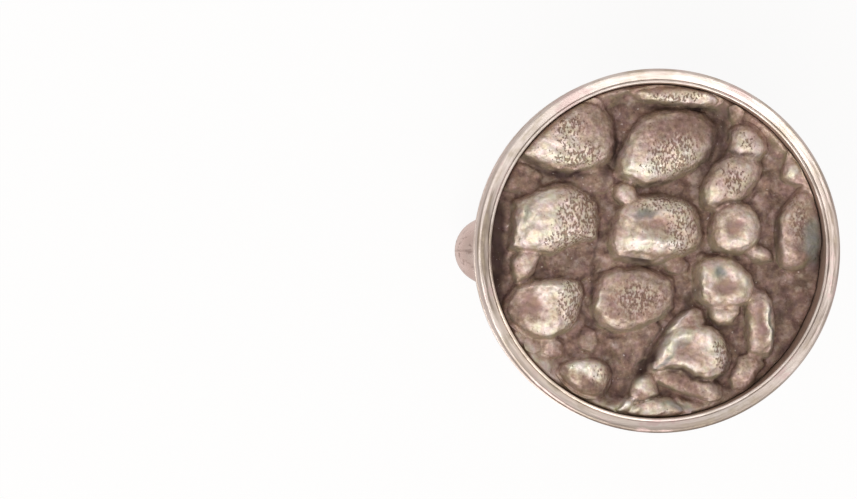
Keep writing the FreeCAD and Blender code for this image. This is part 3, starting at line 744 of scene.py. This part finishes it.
# %% [markdown]
# ## Polished silver
# The arm and the rivet are plain polished silver. One grey metal would do from afar, but the eye
# reads silver by its uneven gloss. So tarnish mixes a clean tone with a stained one and dulls the
# polish, and the scratches are a small bump. A special finish hands in a function of its own.

# %% A silver that the other finishes build on
bump_depth = 0.02 * MM
clean_silver = (0.93, 0.88, 0.845)
stained_silver = (0.68, 0.585, 0.53)
clean_steel = (0.60, 0.61, 0.63)
stained_steel = (0.50, 0.47, 0.44)


def new_material(name):
    material = bpy.data.materials.new(name)
    material.use_nodes = True
    material.node_tree.nodes.clear()
    build = Tree(material.node_tree)
    shader = build.add("ShaderNodeBsdfPrincipled")
    build.add("ShaderNodeOutputMaterial", Surface=shader.outputs[0])
    return material, build, shader, build.place()


def polished(name, tones, roughness, scratches=1.0, streaks=0.0, special=None):
    """tones and roughness: where the metal is clean and where it is stained."""
    material, build, shader, place = new_material(name)
    shader.inputs["Metallic"].default_value = 1.0
    marks = build.add("ShaderNodeGroup", {"node_tree": handling}, Scratches=scratches)
    stain = marks.outputs["Tarnish"]
    height = marks.outputs["Height"]
    streak = None
    if streaks:
        streak = build.add("ShaderNodeGroup", {"node_tree": turned}).outputs["Streak"]
        stain = build.times(stain, build.band(streak, 0.35, 0.65, low=0.3))
        height = build.plus(height, build.times(streak, streaks))
    colour = build.mix(stain, *tones)
    if special:
        colour = special(build, shader, place, colour, stain, streak)
    bump = build.add("ShaderNodeBump", Height=height, Distance=bump_depth, Strength=1.0)
    build.join(colour, shader.inputs["Base Color"])
    build.join(build.band(marks.outputs["Dull"], 0.0, 1.0, *roughness), shader.inputs["Roughness"])
    build.join(bump.outputs[0], shader.inputs["Normal"])
    report_tree(name, build)
    return material


plain_silver = polished("polished silver", (clean_silver, stained_silver), (0.22, 0.40))
spring_steel = polished("spring steel", (clean_steel, stained_steel), (0.25, 0.40))
for node in ("arm", "pivot_rivet"):
    nodes[node].material_slots[0].material = plain_silver
nodes["leaf_spring"].material_slots[0].material = spring_steel

# %% [markdown]
# ## Silver of the toggle
# The toggle is soldered from two half shells. The solder line has gone dark and wanders a little,
# the silver round it is specked, and its ends are painted rosy, a painted warm reflection mixed with
# tarnish. A painted picture would need an unwrapped mesh. The distance from the seam's plane is
# enough here, and fits both halves.

# %% The soldered seam
seam_width = 0.05 * MM
rosy_from = 5.5 * MM
rosy_to = 8.6 * MM
rosy_reflection_clean = (0.98, 0.845, 0.80)
rosy_reflection_stained = (0.71, 0.565, 0.515)
dark_solder = (0.24, 0.15, 0.125)


def soldered_seam(build, shader, place, colour, stain, streak):
    along = build.absolute(build.axis(place, "X"))
    aside = build.absolute(build.axis(place, "Y"))
    # Painted reflection: the ends are tinted rosy as if mirroring warm surroundings, mixed with the
    # tarnish.
    rosy_end_reflection = build.band(along, rosy_from, rosy_to, low=0.15)
    colour = build.mix(rosy_end_reflection, colour, build.mix(stain, rosy_reflection_clean, rosy_reflection_stained))
    wander = build.minus(build.noise(place, 1500.0, detail=2.0), 0.5)
    off_line = build.absolute(build.plus(aside, build.times(wander, 4.0 * seam_width)))
    line = build.band(off_line, 1.8 * seam_width, 0.2 * seam_width, high=0.5)
    broken = build.band(build.noise(place, 2600.0, detail=2.0), 0.35, 0.60, low=0.2)
    specks = build.noise(place, 2600.0, detail=3.0, roughness=0.6)
    specks = build.band(specks, 0.52, 0.72, high=0.7)
    near = build.band(aside, 30.0 * seam_width, 6.0 * seam_width, low=0.25)
    dark = build.larger(build.times(line, broken), build.times(specks, near))
    return build.mix(dark, colour, dark_solder)


toggle_silver = polished(
    "soldered silver", (clean_silver, stained_silver), (0.24, 0.42), special=soldered_seam
)
for node in ("toggle_shell_front", "toggle_shell_rear"):
    nodes[node].material_slots[0].material = toggle_silver

# %% [markdown]
# ## Silver of the rim
# The rim's top has olive and rosy patches of tarnish. Its outer shoulder is painted darker at the
# bottom and its left and right sides darker in streaks: painted shade. Its inner top is painted
# warmer and lighter towards the lamp: painted light. These could be brushed on by hand. Here each
# one is a mask of how far out a point lies, on which side and how high, so it follows the ring.

# %% Where a point lies on the rim
rim_reach = rim_high.x
shoulder_foot = 2.55 * MM
shoulder_top = 2.80 * MM


class RingPlace:
    """How far out a point is, on which side, and how near the top."""

    def __init__(self, build, place):
        flat = build.vector("MULTIPLY", place, (1.0, 1.0, 0.0))
        self.build = build
        self.reach = build.measure("LENGTH", flat)
        self.heading = build.vector("NORMALIZE", flat)
        self.height = build.axis(place, "Z")
        self.upper = build.band(self.height, shoulder_foot, shoulder_top)

    def towards(self, way):
        return self.build.measure("DOT_PRODUCT", self.heading, way)

    def off(self, reach):
        return self.build.absolute(self.build.minus(self.reach, reach))


print("rim reaches", round(rim_reach / MM, 2), "mm out and", round(rim_high.z / MM, 2), "mm up")

# %% Painted warm light, painted shade on the shoulder and on the sides
warm_light_way = (-0.77, -0.64, 0.0)
warm_light_colour = (0.95, 0.81, 0.69)
bottom_way = (-0.12, -0.99, 0.0)
shoulder_shade_colour = (0.25, 0.20, 0.165)
side_shade_and_groove_colour = (0.30, 0.24, 0.205)
groove_reach = rim_reach - 0.27 * MM


# Painted light: a warmer, lighter tone on the inner top, towards the lamp's side.
def painted_warm_light(build, ring, colour):
    inside = build.band(ring.reach, rim_reach - 0.10 * MM, rim_reach - 0.70 * MM, high=0.8)
    painted_warmth = build.times(build.band(ring.towards(warm_light_way), 0.6, 0.97), inside, ring.upper)
    return build.mix(painted_warmth, colour, warm_light_colour)


# Painted shade: the outer shoulder is darker towards the bottom, broken by the turned streaks.
def shoulder_shade(build, ring, colour, streak):
    outer = build.band(ring.reach, rim_reach - 0.45 * MM, rim_reach - 0.04 * MM)
    bottom = build.band(ring.towards(bottom_way), 0.40, 0.95, 0.04, 0.9)
    outer = build.times(outer, bottom, ring.upper)
    streaky = build.plus(outer, build.times(build.minus(streak, 0.5), 0.8))
    return build.mix(build.band(streaky, 0.0, 1.0, high=0.95), colour, shoulder_shade_colour)


# Painted shade: the left and right sides are darker in streaks, and a dark groove line shows only within
# that shade.
def shaded_sides_and_groove(build, ring, colour, streak):
    left = build.times(build.axis(ring.heading, "X"), -1.0)
    side_shade = build.larger(build.band(left, 0.90, 1.0, high=1.4), build.band(left, -0.60, -1.0))
    side_shade = build.math("MULTIPLY", side_shade, build.band(streak, 0.40, 0.60, 0.15, 0.7), clamp=True)
    side_shade = build.times(side_shade, ring.upper)
    groove = build.band(ring.off(groove_reach), 0.10 * MM, 0.03 * MM)
    groove = build.times(groove, build.band(side_shade, 0.1, 0.5), 0.9)
    return build.mix(build.larger(side_shade, groove), colour, side_shade_and_groove_colour)


print("dark groove", round(groove_reach / MM, 2), "mm out")

# %% Patches, the joint with the lip, and the inner wall
wall_top = 2.9 * MM
wall_foot = 2.7 * MM
turned_silver = (0.82, 0.755, 0.715)
olive_patch = (0.52, 0.45, 0.35)
rosy_patch = (0.72, 0.55, 0.54)
dark_joint = (0.16, 0.11, 0.09)
dirty_wall = (0.40, 0.29, 0.235)


def patched_top(build, ring, colour, patches):
    shows = build.band(ring.upper, 0.0, 1.0, low=0.35)
    olive = build.times(build.band(patches, 0.80, 1.00, high=0.65), shows)
    rosy = build.times(build.band(patches, 0.76, 0.60, high=0.70), shows)
    return build.mix(rosy, build.mix(olive, colour, olive_patch), rosy_patch)


def joint_line(build, ring, colour, patches):
    joint = build.band(ring.off(lip_high.x), 0.06 * MM, 0.01 * MM, high=0.35)
    fades = build.band(build.axis(ring.heading, "X"), 0.85, 0.35)
    joint = build.times(joint, ring.upper, fades, build.band(patches, 0.65, 0.95, low=0.3))
    return build.mix(joint, colour, dark_joint)


def rim_wear(build, shader, place, colour, stain, streak):
    ring = RingPlace(build, place)
    patches = build.noise(place, 650.0, detail=4.0, roughness=0.65)
    patches = build.plus(patches, build.times(streak, 0.6))
    colour = painted_warm_light(build, ring, colour)
    colour = shoulder_shade(build, ring, colour, streak)
    colour = shaded_sides_and_groove(build, ring, colour, streak)
    colour = patched_top(build, ring, colour, patches)
    colour = joint_line(build, ring, colour, patches)
    wall = build.band(ring.reach, radius + 2.5 * lip_clearance, radius + 1.5 * lip_clearance)
    wall = build.times(wall, build.band(ring.height, wall_top, wall_foot))
    build.join(build.band(wall, 0.0, 1.0, 1.0, 0.3), shader.inputs["Metallic"])
    return build.mix(wall, colour, dirty_wall)


ring_silver = polished(
    "turned silver", (turned_silver, stained_silver), (0.42, 0.56),
    scratches=0.6, streaks=1.5, special=rim_wear,
)
for piece in (rim, lip):
    piece.data.materials.append(ring_silver)
nodes["base_plate"].material_slots[0].material = ring_silver

# %% [markdown]
# ## Oxidised silver of the casting
# The casting was darkened in a bath and then rubbed, so its tops are bright and its valleys brown.
# A mask by height alone would make all pebbles alike. So height, the painted rubbing with its painted
# highlights and shade, blotches, speckle, fine edges with a painted highlight and crease shade, and a
# painted shade along the left edge add up to one tone, and a colour ramp turns that into metal.

# %% The tone of the casting
valley_z = 1.45 * MM
summit_z = 2.75 * MM
oxidised, build, shader, place = new_material("oxidised silver")


def painted(name):
    return build.add("ShaderNodeAttribute", {"attribute_name": name}).outputs["Fac"]


height = build.band(build.axis(place, "Z"), valley_z, summit_z)
blotches = build.noise(place, 800.0, detail=6.0, roughness=0.72)
speckle = build.noise(place, 5200.0, detail=2.0, roughness=0.6)
reach = build.measure("LENGTH", build.vector("MULTIPLY", place, (1.0, 1.0, 0.0)))
# Painted shade: the casting is darker along its left edge, inside the lip.
left_edge_shade = build.band(build.axis(place, "X"), -0.85 * radius, -radius)
left_edge_shade = build.times(build.band(reach, 0.93 * radius, 0.99 * radius), left_edge_shade)
# fine_stand adds a painted highlight on edges and painted shade in creases.
tone_shares = [
    (painted("rubbed"), 0.22),
    (build.minus(blotches, 0.5), 0.45),
    (build.minus(speckle, 0.5), 0.75),
    (painted("fine_stand"), 0.08),
    (left_edge_shade, -0.25),
]
tone = build.times(height, 0.52)
for value, share in tone_shares:
    tone = build.plus(tone, build.times(value, share))
tone = build.math("ADD", tone, 0.155, clamp=True)
tone_ramp = build.add("ShaderNodeValToRGB", i0=tone)
stops = tone_ramp.color_ramp.elements
stops[0].color = (0.22, 0.14, 0.11, 1)
stops[1].color = (0.87, 0.81, 0.71, 1)
stops.new(0.28).color = (0.36, 0.245, 0.195, 1)
stops.new(0.58).color = (0.66, 0.53, 0.45, 1)
report_tree("tone of the casting", build)

# %% Painted light on slopes, mottled valleys and painted shade in creases
# Colours for painted light on slopes and painted shade in creases, and the mottled floor.
lit_slope_olive = (0.42, 0.37, 0.24)
pale_floor = (0.52, 0.41, 0.36)
dark_floor = (0.13, 0.075, 0.07)
crease_shade_colour = (0.13, 0.075, 0.062)
lamp_side = painted("lamp_side")
# Painted light: steep slopes that face the lamp's side are tinted olive.
steep = build.band(painted("steep"), 0.15, 0.55, high=0.5)
lit_slope_tint = build.times(steep, build.band(lamp_side, 0.0, 0.4))
colour = build.mix(lit_slope_tint, tone_ramp.outputs["Color"], lit_slope_olive)
mottle = build.noise(place, 1900.0, detail=3.0, roughness=0.6)
low_ground = build.band(height, 0.45, 0.10)
pale_spots = build.times(low_ground, build.band(mottle, 0.50, 0.72, high=0.7))
dark_spots = build.times(low_ground, build.band(mottle, 0.50, 0.30, high=0.7))
colour = build.mix(dark_spots, build.mix(pale_spots, colour, pale_floor), dark_floor)
# Painted shade: the feet of the pebbles are darkened, more on the lamp's side.
foot = build.band(painted("fine_stand"), -0.3, -1.4)
painted_crease_shade = build.times(foot, build.band(lamp_side, -0.1, 0.3, 0.35, 0.9))
colour = build.mix(painted_crease_shade, colour, crease_shade_colour)
report_tree("slopes and valleys", build)

# %% Dirt with painted shade, stains and painted glints
# The first stain is dirt together with painted shade.
stains = [
    ("dirty", 1.1, (0.105, 0.065, 0.056)),
    ("rosy", 0.65, (0.46, 0.31, 0.265)),
    ("greyed", 0.95, (0.27, 0.28, 0.25)),
]
glint_colour = (0.86, 0.80, 0.74)
for name, share, stain_colour in stains:
    colour = build.mix(build.math("MULTIPLY", painted(name), share, clamp=True), colour, stain_colour)
# Painted glints: small bright specks on the low ground.
painted_glint = build.band(build.noise(place, 5600.0, detail=1.0), 0.72, 0.78, high=0.5)
colour = build.mix(build.times(painted_glint, low_ground), colour, glint_colour)
report_tree("stains", build)

# %% [markdown]
# ## Pits
# Casting leaves fine pits, which stay dark when the top is rubbed, with bright ridges between them.
# Modelled one by one they would need millions of faces. A fine noise gives them: where its peaks
# pass a level there is a pit, and the level sinks inside the painted zones.

# %% Pits and the ridges between them
pit_pitch = 10000.0
pit_stretch = (1.0, 0.62, 1.0)
pit_turn = (0, 0, 0.7)
bright_ridge = (0.88, 0.82, 0.70)
brown_pit = (0.31, 0.20, 0.145)
pit_field = build.noise(build.stretched(place, pit_stretch, pit_turn), pit_pitch, detail=0.8)
zone = build.times(build.band(painted("pitted"), 0.05, 0.7), build.band(height, 0.25, 0.50))
level = build.minus(0.78, build.times(zone, 0.235))
pits = build.band(build.minus(pit_field, level), -0.05, 0.07)
ridges = build.times(build.band(pit_field, 0.50, 0.38), build.times(zone, 0.5))
colour = build.mix(ridges, colour, bright_ridge)
colour = build.mix(build.times(pits, 0.75), colour, brown_pit)
report_tree("pits", build)

# %% A breath of pink and yellow
pink_tints = ((1.02, 0.975, 1.00), (0.935, 1.01, 0.96))
yellow_tints = ((1.00, 0.99, 1.12), (0.985, 0.99, 0.93))
yellow_turn = (0.7, 0.4, 0.9)
pinker = build.noise(place, 1700.0, detail=3.0, roughness=0.65)
turned_place = build.stretched(place, (1, 1, 1), yellow_turn)
warmer = build.noise(turned_place, 2300.0, detail=3.0, roughness=0.65)
for field, tints in ((pinker, pink_tints), (warmer, yellow_tints)):
    tint = build.mix(build.band(field, 0.30, 0.70), *tints)
    colour = build.vector("MULTIPLY", colour, tint)
report_tree("tints", build)

# %% Bump, gloss and bare metal of the casting
grain_depth = 0.085 * MM
grain = build.times(build.noise(place, 2400.0, detail=3.0), 0.9)
grain = build.plus(grain, build.times(speckle, 0.3))
grain = build.minus(grain, build.times(pits, 0.7))
bump = build.add("ShaderNodeBump", Height=grain, Distance=grain_depth, Strength=0.9)
build.join(build.band(tone, 0.15, 0.60, low=0.5), shader.inputs["Metallic"])
build.join(colour, shader.inputs["Base Color"])
build.join(build.band(tone, 0.0, 1.0, 0.74, 0.62), shader.inputs["Roughness"])
build.join(bump.outputs[0], shader.inputs["Normal"])
relief.data.materials.append(oxidised)
report_tree("oxidised silver", build)

# %% [markdown]
# ## The floor
# The cufflink stands on white paper. More light on the paper would bleach the silver, so the paper
# itself is shown nearly white to the camera, and a warm grey to the polished metal that mirrors it.
# A small share stays plain diffuse paper, which keeps the shadow.

# %% A pale floor
floor_width = 1.2
white_share = 0.90
mirrored_share = 0.80
mirrored_paper = (0.60, 0.52, 0.495)
paper_white = (0.88, 0.87, 0.86, 1)
bpy.ops.object.select_all(action="DESELECT")
bpy.ops.mesh.primitive_plane_add(size=floor_width, location=(0, 0, solid_box[0].z))
floor = bpy.context.active_object
floor.name = "floor"
paper = bpy.data.materials.new("pale floor")
paper.use_nodes = True
paper.node_tree.nodes.clear()
build = Tree(paper.node_tree)
seen = build.add("ShaderNodeLightPath")
shows = build.times(seen.outputs["Is Camera Ray"], white_share)
shows = build.plus(shows, build.times(seen.outputs["Is Glossy Ray"], mirrored_share))
diffuse = build.add("ShaderNodeBsdfDiffuse", Color=paper_white)
shown = build.mix(seen.outputs["Is Camera Ray"], mirrored_paper, (1, 1, 1))
glow = build.add("ShaderNodeEmission", Color=shown, Strength=1.0)
both = build.add("ShaderNodeMixShader", i0=shows, i1=diffuse.outputs[0], i2=glow.outputs[0])
build.add("ShaderNodeOutputMaterial", Surface=both.outputs[0])
floor.data.materials.append(paper)
print("floor at", round(solid_box[0].z / MM, 2), "mm")

# %% [markdown]
# ## Light
# Small shiny things are photographed inside a white tent with one large lamp, so that they mirror
# soft, pale walls. A lamp alone would leave the metal black. The world is the tent, a little darker
# overhead and on one side, and an area light stands in for the lamp.

# %% A tent of soft light
tent_top = (0.55, 0.505, 0.475)
tent_dim_wall = (0.58, 0.53, 0.50)
tent_bright_wall = (0.78, 0.745, 0.725)
bright_way = (0.5, 0.86, 0.0)
world = bpy.data.worlds.new("tent")
bpy.context.scene.world = world
world.use_nodes = True
world.node_tree.nodes.clear()
build = Tree(world.node_tree)
seen = build.add("ShaderNodeLightPath")
direction = build.add("ShaderNodeTexCoord").outputs["Generated"]
side = build.measure("DOT_PRODUCT", direction, bright_way)
wall = build.mix(build.band(side, -0.7, 0.8), tent_dim_wall, tent_bright_wall)
low_sky = build.band(build.axis(direction, "Z"), 0.85, 0.30)
sky = build.mix(low_sky, tent_top, wall)
tent = build.add("ShaderNodeBackground", Color=sky, Strength=1.0)
white = build.add("ShaderNodeBackground", Color=(1, 1, 1, 1), Strength=1.0)
to_camera = seen.outputs["Is Camera Ray"]
both = build.add("ShaderNodeMixShader", i0=to_camera, i1=tent.outputs[0], i2=white.outputs[0])
build.add("ShaderNodeOutputWorld", Surface=both.outputs[0])
report_tree("tent", build)

# %% The lamp
lamp_place = Vector((-0.06, -0.12, 0.22))
lamp_data = bpy.data.lights.new("key light", "AREA")
lamp_data.shape = "SQUARE"
lamp_data.size = 0.22
lamp_data.energy = 0.47
lamp_data.color = (1.0, 0.97, 0.935)
lamp = bpy.data.objects.new("key light", lamp_data)
bpy.context.scene.collection.objects.link(lamp)
lamp.location = lamp_place
lamp.rotation_mode = "QUATERNION"
lamp.rotation_quaternion = (-lamp_place).to_track_quat("-Z", "Y")
print("lamp", round(lamp_place.length, 3), "m away")

# %% [markdown]
# ## The camera
# The photograph looks almost straight down, from a little to the left, with a long lens. The place
# could be found by flying the camera about. Here the lens comes from its focal length in pixels,
# and the place and tilt put the head and the toggle's end where the photograph has them.

# %% The camera
image_width = 857
focal_pixels = 2792
sensor_width = 36
tilt = math.radians(2)
camera_data = bpy.data.cameras.new("camera")
camera = bpy.data.objects.new("camera", camera_data)
bpy.context.scene.collection.objects.link(camera)
bpy.context.scene.camera = camera
camera_data.sensor_width = sensor_width
camera_data.lens = focal_pixels / image_width * sensor_width
camera_data.clip_start = 0.01
camera_data.clip_end = 10
camera.location = (-15.33 * MM, 0.06 * MM, 133 * MM)
camera.rotation_euler = (0, -tilt, 0)
print("lens of", round(camera_data.lens, 1), "mm")

# %% [markdown]
# ## Settings
# The view is set to Standard, so that a colour is shown as it was written.

# %% Settings
bpy.context.scene.view_settings.view_transform = "Standard"
bpy.context.view_layer.update()
